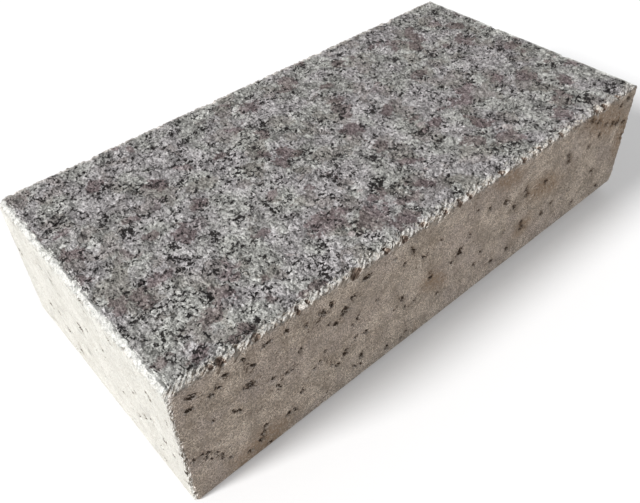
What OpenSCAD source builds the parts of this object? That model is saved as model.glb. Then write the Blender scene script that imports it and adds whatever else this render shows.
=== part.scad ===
// Granite paving stone: one sawn block with a flamed wearing face.
// The bed lies on the XY plane, the length runs along X and the wearing face looks up.
// The front is the long side at -Y, and the near end is the end at -X.

/* [Block] */
// Length of the stone, from end to end
stone_length = 200; // [120:1:300]
// Width of the stone, from front to back
stone_width = 100; // [70:1:150]
// Thickness of the stone, from the bed to the wearing face
stone_height = 50; // [30:1:100]

/* [Crushed arrises of the wearing face] */
// Width of the crushed band on the wearing face, along the front and the back
side_band_width = 1.4; // [0.6:0.1:4]
// Drop of that band down the front and the back
side_band_drop = 0.7; // [0.3:0.1:3]
// Width of the crushed band on the wearing face, along the two ends
end_band_width = 2; // [0.6:0.1:4]
// Drop of that band down the two ends
end_band_drop = 1.4; // [0.3:0.1:3]

/* [Sawn arrises] */
// Leg of the small bevel on the upright arrises
upright_bevel = 0.6; // [0.2:0.1:2]
// Leg of the small bevel round the bed
bed_bevel = 0.5; // [0.2:0.1:2]

/* [Spalls in the upper arrises] */
// Length along the arris of a full-sized spall
spall_length = 4.4; // [2:0.2:8]
// Depth of a full-sized spall, measured square to the crushed band
spall_depth = 1; // [0.4:0.1:1.6]

/* [Broken corners] */
// Longest leg of a full-sized broken corner
corner_leg = 4.4; // [1:0.2:8]

/* [Long spall in the front bed arris] */
// Height that the long spall takes off the front at the near end
bed_spall_near_rise = 0.5; // [0.2:0.1:3]
// Height that the long spall takes off the front at the far end
bed_spall_far_rise = 6.6; // [3:0.2:10]
// Width that the long spall takes off the bed at the far end
bed_spall_far_depth = 6; // [3:0.2:10]

/* [Rendering] */
// Facets of a full circle
facets = 48; // [24:4:96]

/* [Hidden] */

half_length = stone_length / 2;
half_width = stone_width / 2;

// Every cutting block is larger than the stone, so that it takes all that lies outside its plane.
cutter_size = 2 * (stone_length + stone_width + stone_height);

// A spall is a scoop of a ball: its radius follows from the length and the depth of the scoop.
spall_radius = (pow(spall_length / 2, 2) + pow(spall_depth, 2)) / (2 * spall_depth);

// Each spall: place along the arris from the near end or the front, and size.
front_spall_shares = [
    [0.08, 0.8], [0.209, 1], [0.345, 0.7], [0.53, 0.85], [0.727, 0.75], [0.898, 0.9]
];
back_spall_shares = [[0.16, 0.75], [0.41, 0.9], [0.67, 0.7], [0.86, 1]];
near_spall_shares = [[0.22, 0.8], [0.47, 0.65], [0.76, 0.9]];
far_spall_shares = [[0.31, 0.75], [0.64, 0.95]];

// Each broken corner: which end, which side, bed or wearing face, then its legs along X, Y and Z.
corner_shares = [
    [-1, -1, 1, [0.8, 0.5, 1]],
    [-1, 1, 1, [0.8, 0.7, 0.95]],
    [1, -1, 1, [0.5, 0.5, 0.45]],
    [1, 1, 1, [0.45, 0.5, 0.4]],
    [-1, -1, 0, [0.35, 0.3, 0.4]],
    [-1, 1, 0, [0.4, 0.35, 0.45]],
    [1, 1, 0, [0.4, 0.45, 0.35]]
];
// The far front corner stands on the long spall, so its break is narrow and tall.
far_foot_shares = [0.4, 0.5, 0.95];

stone_colour = [0.6, 0.57, 0.54];

// Unit vector along v.
function unit(v) = v / norm(v);

// Removes all that lies beyond the plane through p, on the side that the normal points to.
module cut_beyond(p, normal) {
    n = unit(normal);
    translate(p)
        rotate([0, acos(n.z), atan2(n.y, n.x)])
            translate([-cutter_size / 2, -cutter_size / 2, 0])
                cube(cutter_size);
}

// Bevel along an arris that runs along X: out is -1 at the front and 1 at the back, up is 1 at the
// wearing face and -1 at the bed.
module long_bevel(out, up, width, drop) {
    edge_z = up > 0 ? stone_height - drop : drop;
    cut_beyond([0, out * half_width, edge_z], [0, out * drop, up * width]);
}

// Bevel along an arris that runs along Y: out is -1 at the near end and 1 at the far end.
module cross_bevel(out, up, width, drop) {
    edge_z = up > 0 ? stone_height - drop : drop;
    cut_beyond([out * half_length, 0, edge_z], [out * drop, 0, up * width]);
}

// Bevel on an upright arris.
module corner_bevel(end, side) {
    cut_beyond([end * (half_length - upright_bevel), side * half_width, 0], [end, side, 0]);
}

// Broken corner: the plane through the ends of its three legs.
module broken_corner(end, side, level, legs) {
    corner = [end * half_length, side * half_width, level * stone_height];
    up = level > 0 ? 1 : -1;
    cut_beyond(corner - [end * legs.x, 0, 0], [end / legs.x, side / legs.y, up / legs.z]);
}

// Scoop out of the upper arris: the ball's centre stands off the band along the band's own normal.
module spall(place, band_normal, size) {
    lift = size * (spall_radius - spall_depth);
    translate(place + unit(band_normal) * lift)
        sphere(r = size * spall_radius, $fn = facets);
}

// Spalls in the front or the back arris.
module long_spalls(out, shares) {
    middle_of_band = [out * (half_width - side_band_width / 2), stone_height - side_band_drop / 2];
    for (s = shares)
        spall(
            [-half_length + s[0] * stone_length, middle_of_band[0], middle_of_band[1]],
            [0, out * side_band_drop, side_band_width],
            s[1]
        );
}

// Spalls in the arris of the near or the far end.
module cross_spalls(out, shares) {
    middle_of_band = [out * (half_length - end_band_width / 2), stone_height - end_band_drop / 2];
    for (s = shares)
        spall(
            [middle_of_band[0], -half_width + s[0] * stone_width, middle_of_band[1]],
            [out * end_band_drop, 0, end_band_width],
            s[1]
        );
}

// The long spall leaves a slanting face under the front: nothing at the near end, most at the far end.
module bed_spall() {
    near_edge = [-half_length, -half_width, bed_spall_near_rise];
    far_edge = [half_length, -half_width, bed_spall_far_rise];
    far_bed = [half_length, -half_width + bed_spall_far_depth, 0];
    cut_beyond(far_edge, cross(near_edge - far_edge, far_bed - far_edge));
}

// The foot of the far front arris breaks off just above the long spall.
module far_foot_break() {
    legs = corner_leg * far_foot_shares;
    foot = [half_length, -half_width, bed_spall_far_rise];
    cut_beyond(foot + [0, 0, legs.z], [1 / legs.x, -1 / legs.y, -1 / legs.z]);
}

module paving_stone() {
    color(stone_colour)
        difference() {
            translate([-half_length, -half_width, 0])
                cube([stone_length, stone_width, stone_height]);

            for (out = [-1, 1]) {
                long_bevel(out, 1, side_band_width, side_band_drop);
                cross_bevel(out, 1, end_band_width, end_band_drop);
                long_bevel(out, -1, bed_bevel, bed_bevel);
                cross_bevel(out, -1, bed_bevel, bed_bevel);
            }

            for (end = [-1, 1], side = [-1, 1])
                corner_bevel(end, side);

            for (c = corner_shares)
                broken_corner(c[0], c[1], c[2], corner_leg * c[3]);

            long_spalls(-1, front_spall_shares);
            long_spalls(1, back_spall_shares);
            cross_spalls(-1, near_spall_shares);
            cross_spalls(1, far_spall_shares);

            bed_spall();
            far_foot_break();
        }
}

paving_stone();
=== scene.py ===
# %% [markdown]
# # A granite paving stone
#
# The real thing is one block of granite. A saw cuts it out of a slab, which leaves its sides smooth and
# dusty, and a torch flames its upper face, which makes the grains burst and leaves a rough grip for feet
# and wheels. The upper edges crumble in the flame and in handling.
#
# This lesson keeps the block's true outline, which comes ready-made, and gives it the surface of the real
# stone: first the relief, as real geometry, and then the minerals, the saw dust and the stains, as one
# material.

# %% Load the block
import math

import bpy
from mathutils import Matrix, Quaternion, Vector


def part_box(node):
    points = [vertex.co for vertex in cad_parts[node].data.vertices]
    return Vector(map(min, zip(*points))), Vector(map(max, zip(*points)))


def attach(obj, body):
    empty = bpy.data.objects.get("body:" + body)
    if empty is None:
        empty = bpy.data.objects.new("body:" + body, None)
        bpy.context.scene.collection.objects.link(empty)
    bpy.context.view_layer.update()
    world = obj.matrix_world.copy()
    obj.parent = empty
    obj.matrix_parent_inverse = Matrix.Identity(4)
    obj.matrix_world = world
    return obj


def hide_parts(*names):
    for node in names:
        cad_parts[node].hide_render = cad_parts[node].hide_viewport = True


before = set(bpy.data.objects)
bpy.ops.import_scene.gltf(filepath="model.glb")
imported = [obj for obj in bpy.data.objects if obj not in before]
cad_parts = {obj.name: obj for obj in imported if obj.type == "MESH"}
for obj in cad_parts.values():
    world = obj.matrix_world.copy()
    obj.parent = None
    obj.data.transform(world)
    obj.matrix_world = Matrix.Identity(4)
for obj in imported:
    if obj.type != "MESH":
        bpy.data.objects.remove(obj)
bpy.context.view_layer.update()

MM = 0.001
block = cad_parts["paving_stone"]
low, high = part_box("paving_stone")
length, width, height = high - low
print(f"the block is {length / MM:.0f} x {width / MM:.0f} x {height / MM:.0f} mm")

# %% [markdown]
# ## The camera
#
# The picture looks down on the near front corner from less than 20 cm away. A camera can be placed by eye,
# but here the corners of the stone give its place: the lens, the point that it aims at and a small roll
# follow from where they lie in the picture. The picture was cropped a little off its centre, which is the
# shift.

# %% Place the camera
PICTURE_WIDTH_PX = 640
FOCAL_LENGTH_PX = 721.1
SHIFT_RIGHT_PX = 14.4
SHIFT_UP_PX = -15.9
SENSOR_WIDTH_MM = 36
camera_place = Vector((-0.1334, -0.1504, 0.1894))
camera_aim = Vector((-0.0398, -0.0298, 0.05))
camera_roll = math.radians(-3.63)

camera = bpy.data.objects.new("camera", bpy.data.cameras.new("camera"))
bpy.context.scene.collection.objects.link(camera)
bpy.context.scene.camera = camera
camera.data.sensor_width = SENSOR_WIDTH_MM
camera.data.lens = FOCAL_LENGTH_PX * SENSOR_WIDTH_MM / PICTURE_WIDTH_PX
camera.data.shift_x = SHIFT_RIGHT_PX / PICTURE_WIDTH_PX
camera.data.shift_y = SHIFT_UP_PX / PICTURE_WIDTH_PX
camera.data.clip_start = 0.01
look = (camera_aim - camera_place).to_track_quat("-Z", "Y")
camera.rotation_mode = "QUATERNION"
camera.rotation_quaternion = look @ Quaternion((0, 0, 1), camera_roll)
camera.location = camera_place
print(f"lens {camera.data.lens:.1f} mm, {(camera_place - camera_aim).length / MM:.0f} mm from the stone")

# %% [markdown]
# ## Small helpers for node trees
#
# Both the shape and the material are node trees, and both kinds of tree share their arithmetic, noise and
# cell nodes. So one set of helpers serves both: each adds a node to the tree that is being worked in,
# feeds it with sockets or plain numbers, and hands back its output. The rule for where an edge is crumbled
# can then be written once and used in both. Nodes could also be placed and linked by hand, but a wall of
# boxes is hard to read.


# %% Helpers that add nodes
current_tree = None


def work_in(tree):
    """From here on, the helpers add their nodes to this tree."""
    global current_tree
    current_tree = tree


def feed(socket, value):
    """Links value to the socket if it is a socket itself, and otherwise sets it."""
    if isinstance(value, bpy.types.NodeSocket):
        current_tree.links.new(value, socket)
    elif value is not None:
        socket.default_value = value


def add(kind, **settings):
    """Adds a node and gives it its settings, such as the operation of a Math node."""
    node = current_tree.nodes.new(kind)
    for name, value in settings.items():
        setattr(node, name, value)
    return node


def calc(operation, *values, clamp=False):
    node = add("ShaderNodeMath", operation=operation, use_clamp=clamp)
    for socket, value in zip(node.inputs, values):
        feed(socket, value)
    return node.outputs[0]


def chain(operation, *values):
    """Joins any number of values with one operation, such as the least of five."""
    result = values[0]
    for value in values[1:]:
        result = calc(operation, result, value)
    return result


def vector_calc(operation, a, b=None, scale=None):
    node = add("ShaderNodeVectorMath", operation=operation)
    feed(node.inputs[0], a)
    feed(node.inputs[1], b)
    feed(node.inputs[3], scale)
    return node.outputs["Value" if operation in ("LENGTH", "DOT_PRODUCT", "DISTANCE") else "Vector"]


def split(vector):
    node = add("ShaderNodeSeparateXYZ")
    feed(node.inputs[0], vector)
    return node.outputs


def join(x, y, z=0.0):
    node = add("ShaderNodeCombineXYZ")
    for socket, value in zip(node.inputs, (x, y, z)):
        feed(socket, value)
    return node.outputs[0]


def noise(place, per_mm, detail=2.0, roughness=0.5, stretch=None):
    """Smooth random values around 0.5; stretch squeezes the place along X, Y and Z first."""
    if stretch is not None:
        place = vector_calc("MULTIPLY", place, stretch)
    node = add("ShaderNodeTexNoise")
    feed(node.inputs["Vector"], place)
    feed(node.inputs["Scale"], per_mm)
    feed(node.inputs["Detail"], detail)
    feed(node.inputs["Roughness"], roughness)
    return node.outputs[0]


def centred(value, span):
    """Turns a value from 0 to 1 into one around 0, from minus half the span to plus half of it."""
    return calc("MULTIPLY_ADD", value, span, -span / 2)


def uneven(place, per_mm, reach, detail=4.0, roughness=0.7):
    """Rough random values around 0 that seldom pass reach, for ragged borders."""
    return centred(noise(place, per_mm, detail, roughness), 4 * reach)


def bent(place, per_mm, reach_mm):
    """Shifts the place by up to about reach_mm, so that cells get the crooked borders of real grains."""
    node = add("ShaderNodeTexNoise")
    feed(node.inputs["Vector"], place)
    feed(node.inputs["Scale"], per_mm)
    direction = vector_calc("SUBTRACT", node.outputs["Color"], (0.5, 0.5, 0.5))
    return vector_calc("ADD", place, vector_calc("SCALE", direction, scale=4 * reach_mm))


def cells(place, per_mm, feature="F1"):
    """Splits space into cells, each with a random colour and a distance from its middle or its border."""
    node = add("ShaderNodeTexVoronoi", feature=feature)
    feed(node.inputs["Vector"], place)
    feed(node.inputs["Scale"], per_mm)
    return node.outputs


def ease(value, start, end, low=0.0, high=1.0):
    """Goes smoothly from low to high while value goes from start to end."""
    node = add("ShaderNodeMapRange", interpolation_type="SMOOTHSTEP")
    names = ("Value", "From Min", "From Max", "To Min", "To Max")
    for name, number in zip(names, (value, start, end, low, high)):
        feed(node.inputs[name], number)
    return node.outputs["Result"]


def between(share, low, high):
    """Goes straight from low to high as share goes from 0 to 1."""
    return calc("MULTIPLY_ADD", share, high - low, low)


def in_millimetres(place):
    return vector_calc("SCALE", place, scale=1 / MM)


print("helpers ready")

# %% [markdown]
# ## Marks with a place of their own
#
# Most of the stone's pattern is chance, and noise makes it. But the eye knows this stone by its large
# marks: the plum feldspars, the black mica nests and a few pale flakes on the wearing face, the pits where
# the saw tore mica out of a side, brown notches in the front's upper edge, and rust. They could be painted
# into a texture, but then they would only be colour. Here they are short lists, and each list
# becomes a cloud of loose points that the shape's node tree samples, so a mark can sink the surface as
# well as colour it.
#
# A row is the mark's place, its half length, its half width and its turn in degrees. Places on the wearing
# face are in millimetres from the near end and from the front. Those on the front are from the near end
# and the bed, and those on the near end are from the front and the bed.


# %% Helper for marks
def cloud_of_marks(name, rows):
    """A mesh of loose points at the marks' places, with their sizes and turns as attributes."""
    mesh = bpy.data.meshes.new(name)
    mesh.from_pydata([(row[0], row[1], 0) for row in rows], [], [])
    for column, title in ((2, "half_length"), (3, "half_width"), (4, "turn")):
        attribute = mesh.attributes.new(title, "FLOAT", "POINT")
        values = [math.radians(row[column]) if title == "turn" else row[column] for row in rows]
        attribute.data.foreach_set("value", values)
    cloud = bpy.data.objects.new(name, mesh)
    bpy.context.scene.collection.objects.link(cloud)
    print(f"{name}: {len(rows)} marks")
    return cloud


# %% Marks of the wearing face
plum_marks = cloud_of_marks("plum_marks", [
    (38, 8, 2.2, 1.5, 80), (41, 15, 1.6, 1.2, 20), (13, 5.5, 4.2, 1.6, 10), (5, 10, 3, 1.6, 0),
    (23, 14, 4, 3, 40), (20, 35, 4, 2.5, 0), (115, 68, 3.5, 2.4, 0), (109, 88, 5, 3, 20),
    (119, 78, 3, 2, 0), (124, 51, 4, 2.5, 30), (90, 87, 5, 3, 0), (107, 37, 3.5, 2.8, 60),
    (108, 25, 4.2, 1.4, -35), (103, 14, 4.6, 1.5, -35), (80, 13, 6, 5, 30), (67, 22, 5.5, 3.5, 20),
    (76, 22, 2.5, 1.8, 0), (88, 6, 4, 3, 30), (76, 61, 2.5, 2.2, 60), (65, 42, 2.4, 1.6, 0),
    (51, 30, 3.4, 2, 0), (26, 62, 3.2, 1.8, 0), (27, 52, 2.6, 1.8, 0), (13, 30, 3, 2.4, 60),
    (9, 71, 3, 2, 0), (46, 54, 3, 2, 20), (3, 49, 3, 2, 0), (165, 8, 4.4, 3.4, 30), (177, 33, 4, 2.6, 60),
    (168, 38, 3, 2.4, 0), (184, 20, 3.6, 2.6, 50), (141, 11, 4.6, 3, -20), (130, 19, 3.4, 2.2, 0),
    (171, 15, 2, 1.6, 0), (150, 60, 4, 2.6, 20), (160, 84, 4.4, 2.8, -20), (192, 50, 3.4, 2.4, 0),
    (134, 88, 3.6, 2.6, 30), (174.3, 32.5, 3, 1.6, 30), (190.7, 32.5, 1.8, 1.4, 0),
    (190.7, 43.6, 1.6, 0.9, 40), (130.7, 34.3, 3.2, 2.2, 0), (127, 40.7, 2.6, 1.2, 0),
    (110.8, 90.8, 4, 4, 0), (140.8, 86.7, 1.6, 1.1, 50), (157.5, 80, 2.4, 1.3, 50), (173, 67, 2.2, 1.5, 0),
    (196.7, 68.3, 1.5, 1.1, 0), (134, 66.7, 1.5, 1.4, 0), (45.4, 94.2, 2.2, 1.2, 90), (65, 70, 2.4, 1.5, 0),
])
black_marks = cloud_of_marks("black_marks", [
    (55, 10, 3, 2.2, 60), (54, 5, 2.6, 1.6, 30), (29, 4, 3, 1.3, 10), (26, 19, 1.6, 1.1, 0),
    (12, 14, 1.3, 1, 0), (3, 8, 1.6, 1.1, 60), (19, 18, 1.2, 1, 20), (32, 36, 1.7, 1.2, 0),
    (37, 32, 2.2, 1.5, 50), (27, 39, 1.7, 1.2, 80), (95, 93, 1.8, 1.3, 0), (99, 71, 1.8, 1.4, 0),
    (111, 60, 3.2, 1, 35), (110, 52, 2, 1, 80), (103, 51, 2, 1.1, 30), (98, 50, 1.6, 1, 30),
    (92, 66, 1.4, 1.2, 0), (80, 51, 2, 1.5, 60), (86, 45, 1.8, 1.4, 0), (100, 35, 2, 1.4, 70),
    (80, 43, 1.6, 1.2, 0), (85, 38, 2.2, 1.1, 40), (67, 54, 2.4, 1.2, -40), (63, 42, 1.8, 1.3, 60),
    (61, 36, 2, 1.4, 70), (92, 24, 2.4, 1.5, 0), (92, 6, 1.8, 1.6, 60), (73, 11, 1.6, 1.2, 0),
    (64, 16, 3.2, 1.5, 0), (81, 78, 1.6, 1.2, 0), (27, 93, 2, 1.5, 0), (26, 81, 3.6, 1.1, 10),
    (17, 58, 1.8, 1.4, 60), (23, 58, 2.4, 1.5, 40), (21, 53, 1.8, 1.3, 90), (12, 54, 1.5, 1.3, 60),
    (13, 46, 2.6, 1.3, -60), (40, 63, 2.4, 1.6, -30), (30, 43, 1.8, 1.2, 90), (27, 38, 2, 1.5, 90),
    (42, 39, 2.4, 1.6, 20), (21, 31, 1.5, 1.2, 0), (26, 20, 2, 1.4, 0), (16, 37, 2, 1.2, 30),
    (4, 28, 1.8, 1.2, 70), (2, 23, 2.2, 1.5, 70), (7, 26, 1.4, 1.1, 0), (9, 76, 4.2, 1.1, 20),
    (187, 33, 1.8, 1.3, 60), (177, 15.5, 2.6, 0.8, 55), (178, 8, 3.2, 2, 80), (190, 5, 2, 1.2, 0),
    (197, 5, 2.4, 1.2, 50), (172, 2.5, 2.4, 1.4, 60), (166, 28, 1.8, 1.4, 0), (168, 34, 1.3, 1.1, 0),
    (176, 66, 2, 1.6, 0), (188, 51, 1.8, 1.4, 0), (151, 33, 1.2, 0.9, 0), (137, 7, 3, 2.2, 60),
    (151, 14.5, 3, 0.9, -10), (160, 27, 1.5, 1.1, 0), (122, 34, 2, 1.2, 20), (140, 52, 1.8, 1.3, 0),
    (128, 66, 2.2, 1.4, 40), (152, 74, 2, 1.3, 0), (50, 76, 2, 1.3, 0), (64, 86, 2.2, 1.4, 20),
    (176.4, 15, 2.3, 0.8, 60), (181, 8.5, 5, 1.3, 20), (175.7, 2, 1.4, 0.8, 45), (169, 8.5, 1.4, 0.8, 45),
    (164.5, 3.6, 1.6, 0.9, 30), (190, 5.7, 1, 1.3, 0), (198, 4.3, 1.6, 0.9, 0), (189.3, 28.6, 1.2, 0.9, 0),
    (149.6, 41.4, 0.9, 0.8, 0), (162.9, 15.7, 0.8, 0.7, 0), (132, 45, 1, 0.7, 0),
    (135.4, 45.4, 0.9, 0.7, 0), (130.7, 25.7, 0.8, 0.7, 0), (146.4, 24, 1.2, 0.9, 0),
    (121.4, 3.9, 1.8, 1.1, 0), (126.4, 3.2, 0.8, 0.7, 0), (187, 49.3, 1.2, 0.8, 0), (154.3, 4.3, 1, 0.7, 0),
    (123.3, 97, 1.3, 0.9, 40), (128.3, 93, 1.8, 0.7, 0), (133, 97.5, 1.3, 0.8, 30),
    (139.2, 90.8, 1.5, 0.9, 70), (133.3, 86.7, 2, 0.7, 10), (125.8, 83.3, 1.4, 1.1, 30),
    (135.8, 80.8, 1.3, 0.8, 50), (155.8, 89.6, 1.3, 0.8, 45), (168.3, 86.3, 1, 0.6, 0),
    (176.3, 95, 1.3, 0.9, 40), (181.7, 87.5, 1.3, 0.6, 40), (191.7, 89.2, 2.2, 1.4, 60),
    (175.8, 81.7, 1, 0.8, 0), (184, 79.2, 1.3, 0.7, 50), (163.3, 67.5, 1.8, 1, 30),
    (186.7, 67.5, 2.2, 1.2, 0), (196.7, 60, 1.2, 0.9, 0), (191.7, 62, 1, 0.9, 0), (155, 62, 0.9, 0.9, 0),
    (153.3, 67.5, 1.3, 0.7, 40), (134, 55, 0.9, 0.9, 0), (170.8, 58.3, 0.8, 0.9, 0),
    (102.5, 84.6, 0.9, 1, 0), (109, 76.7, 1.2, 0.8, 0), (108, 68.8, 0.9, 0.7, 0), (35.8, 94.2, 1, 0.9, 0),
    (35.8, 87.9, 1.1, 0.8, 0), (59, 84.5, 3, 0.8, 62), (54, 86.7, 1, 0.7, 0), (23, 68.3, 3.5, 0.7, 0),
    (29, 75.8, 1.1, 0.8, 0), (35.8, 73.3, 1.1, 1, 0), (38.3, 75, 1.3, 0.8, 0), (41, 71.7, 1.2, 1.1, 0),
    (43.3, 79, 1, 0.7, 0), (48.3, 76.7, 1, 0.8, 0), (36.7, 56.3, 1.3, 1.1, 0), (78.3, 71.3, 1.1, 0.9, 0),
    (74, 71, 0.9, 0.9, 0), (87.5, 75, 1, 1.1, 0), (73.3, 95.8, 0.9, 0.8, 0), (65.8, 96.3, 1.5, 0.7, 20),
    (59, 56.7, 1, 1.1, 0), (89.6, 82, 0.8, 0.7, 0),
])
pale_marks = cloud_of_marks("pale_marks", [
    (145.8, 15.2, 2.6, 1.3, -30), (196, 33, 1, 0.8, 0), (126, 36.8, 2.2, 1, 0), (102.5, 47.5, 1.2, 1, 60),
    (71, 12.5, 1.3, 1.1, 0), (86, 25, 1.1, 0.9, 0), (52.7, 17.6, 2.8, 0.3, -45), (67.5, 19.5, 1.6, 0.3, 90),
    (106.5, 29.5, 2, 0.3, 85), (109, 19, 2, 0.3, -60),
])

# %% Marks of the front
pit_marks = cloud_of_marks("pit_marks", [
    (6.3, 44.2, 2, 1.2, -25), (5, 40, 1.8, 1, 0), (16.3, 43.7, 1.7, 1, -10), (11.8, 39.8, 1.2, 1.2, 0),
    (14.1, 40.7, 0.7, 0.7, 0), (24.9, 40.3, 1.8, 0.7, -45), (22, 45, 0.8, 0.6, 0), (30, 45, 2.6, 0.6, 10),
    (36.4, 44.8, 1.3, 1, 0), (23, 33.5, 2.4, 1.5, -20), (10.5, 29.5, 1, 0.7, 30), (17, 27.7, 1.2, 0.8, -40),
    (18.8, 26, 1.2, 0.7, -60), (30.3, 29.7, 0.9, 0.8, 0), (35, 28, 1.2, 0.8, 20), (37, 27.8, 1.4, 0.8, -40),
    (31.6, 25.5, 0.8, 0.7, 0), (32.2, 23.7, 1, 0.9, 0), (40.2, 33.3, 1.3, 0.9, 80), (43, 42, 1.2, 0.8, 50),
    (48.6, 42.3, 2.2, 1.2, -60), (52, 43, 1.4, 0.9, -80), (43.5, 38.5, 0.7, 0.6, 0),
    (56.8, 36.8, 2, 1.5, 50), (53.4, 34.1, 1.4, 1, -45), (51, 35.8, 0.8, 0.7, 0), (60, 40.2, 1.2, 1, 30),
    (65.3, 44.4, 1.9, 1, 0), (61.8, 30.2, 1.7, 0.9, 70), (59.8, 28.3, 1, 0.7, -30), (69.5, 32, 1, 0.8, -20),
    (49, 25.3, 0.9, 0.7, 60), (47, 22.3, 0.8, 0.8, 0), (44.8, 21.2, 0.8, 0.7, 0), (41.5, 19, 0.7, 0.6, 0),
    (61, 21.7, 1.3, 0.9, 20), (56.8, 18.2, 2, 1.5, 50), (53.6, 15.1, 1.4, 1.1, -45),
    (51.2, 17, 0.8, 0.7, 0), (65.2, 21.2, 0.9, 0.9, 0), (39.5, 15, 1.3, 0.8, 80), (34.2, 9.2, 1.3, 0.9, 30),
    (36.6, 9, 1.3, 0.8, -30), (63.2, 11.3, 2, 1.1, 80), (60.5, 8.5, 1.1, 0.7, -30), (63, 7.5, 0.9, 0.7, 0),
    (49.1, 5.3, 1.1, 0.6, 50), (47, 2.2, 0.8, 0.6, 0), (74.5, 5.8, 1.4, 0.9, 80), (83, 7, 1, 0.8, -20),
    (80.8, 5.5, 0.7, 0.7, 0), (0.4, 21, 1, 1, 0), (2.7, 19.2, 1.2, 0.8, 0), (5.5, 19, 0.8, 0.7, 0),
    (7, 18, 0.9, 0.8, 0), (8.5, 17, 1.1, 0.8, 0), (6.3, 16.3, 0.8, 0.7, 0), (9.5, 15.3, 0.9, 0.8, 0),
    (7.8, 14.2, 0.9, 0.7, 0), (11, 13, 0.9, 0.9, 0), (11, 11.3, 0.8, 0.7, 0), (13.5, 9, 0.9, 0.7, 0),
    (26, 11.5, 1.2, 1.1, 0), (25, 9, 1.2, 1, 0), (24, 6.6, 1.3, 1, 0), (20, 5, 1.5, 0.8, 0),
    (26.8, 2, 1.2, 0.7, 0), (80.8, 39.2, 1.1, 0.7, 20), (84, 42.5, 2, 1.1, -60), (76.5, 43.8, 0.9, 0.8, 0),
    (89, 36.5, 1.6, 0.7, -50), (86, 34, 0.7, 0.7, 0), (96.8, 38.7, 1, 0.7, -20), (91.2, 38.4, 0.7, 0.7, 0),
    (92.8, 27.5, 1.2, 0.9, 0), (93.3, 25, 1.4, 1.1, 0), (80.5, 24.5, 1.4, 0.9, 80),
    (86.5, 19.5, 1.3, 0.8, -60), (82, 20, 0.7, 0.7, 0), (97.3, 14.5, 1.1, 0.8, -40),
    (77.5, 22, 0.9, 0.8, 0), (106.5, 27, 2, 1.3, 70), (102.5, 25, 1.4, 0.8, -10), (111, 31.8, 1, 1, 0),
    (119.8, 37.7, 1, 1, 0), (113.5, 40.7, 0.8, 0.7, 0), (128.3, 35.3, 1.7, 1.2, -50),
    (133.8, 30.3, 1.7, 0.8, -50), (139, 34.8, 1.2, 1.2, 0), (139.8, 32.3, 1.6, 1.2, 0),
    (139.7, 19.8, 1.2, 1.2, 0), (140.3, 17, 1.7, 1.3, 0), (118, 19.6, 1.2, 1, 0),
    (115.2, 15.8, 1.2, 0.8, -50), (130, 21.3, 1, 0.8, 0), (125.3, 10.4, 1.7, 1, -20),
    (133.5, 11, 1.7, 1, -60), (150.3, 32.2, 1.6, 1, -40), (162.2, 37, 1.3, 1.2, 0),
    (163.2, 34.4, 1.7, 1.3, 0), (152, 16.7, 2, 1, -40), (157.3, 18.5, 1.6, 1, 0),
    (174.5, 34.5, 1.7, 1, -20), (180.4, 37, 1.4, 1, 80), (181.5, 20.2, 1.7, 1, 0),
    (172.2, 10.3, 1.4, 0.8, 20), (188.5, 9.5, 1.4, 0.8, -40), (173, 46.3, 2.3, 1.2, -30),
    (177.5, 43.5, 1.7, 1.3, 0), (183, 40, 1.9, 1, -20), (188, 38, 1.6, 1.2, 0), (191.5, 37, 1.6, 1.3, 0),
    (196, 35, 1.7, 1.3, 0), (195, 46, 1.7, 1.2, 0), (191, 44.5, 1.3, 1, 0), (198, 28, 1.7, 1.3, 80),
])
notch_marks = cloud_of_marks("notch_marks", [
    (16.3, 49.2, 1.5, 1.6, 0), (13.4, 49.6, 0.8, 1, 0), (27.3, 49.3, 1.4, 1.3, 0), (41, 49.2, 1, 1.7, 0),
    (44.5, 49.6, 0.7, 1, 0), (61.2, 48.8, 2.2, 2, 45), (73.5, 49.4, 1.2, 1.3, 0), (80.5, 49.3, 1.5, 1.3, 0),
    (89, 49.6, 1.4, 0.9, 0), (98, 49.5, 0.9, 1.1, 0), (104.2, 49.2, 1.3, 1.7, 0), (108.8, 49.3, 1, 1.5, 0),
    (124.5, 49.7, 1.8, 0.8, 0), (135, 49.2, 1.2, 1.4, 0), (143.5, 49.4, 1, 1.1, 0),
    (155.4, 49.2, 1.1, 1.5, 0), (175.5, 49.2, 1.8, 1.6, -30), (180, 49, 1.5, 1.8, -20),
    (188, 49.5, 1.2, 1, 0),
])
rust_marks = cloud_of_marks("rust_marks", [
    (24, 4, 9, 5, 10), (28.4, 21.2, 0.9, 0.7, -60), (184, 41, 14, 4.5, -28), (197, 29, 3, 8, 0),
    (128, 45, 6, 3, -20), (150, 30, 8, 4, -20), (95, 22, 6, 3, -40), (141, 17, 4, 3, 0),
])

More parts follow.
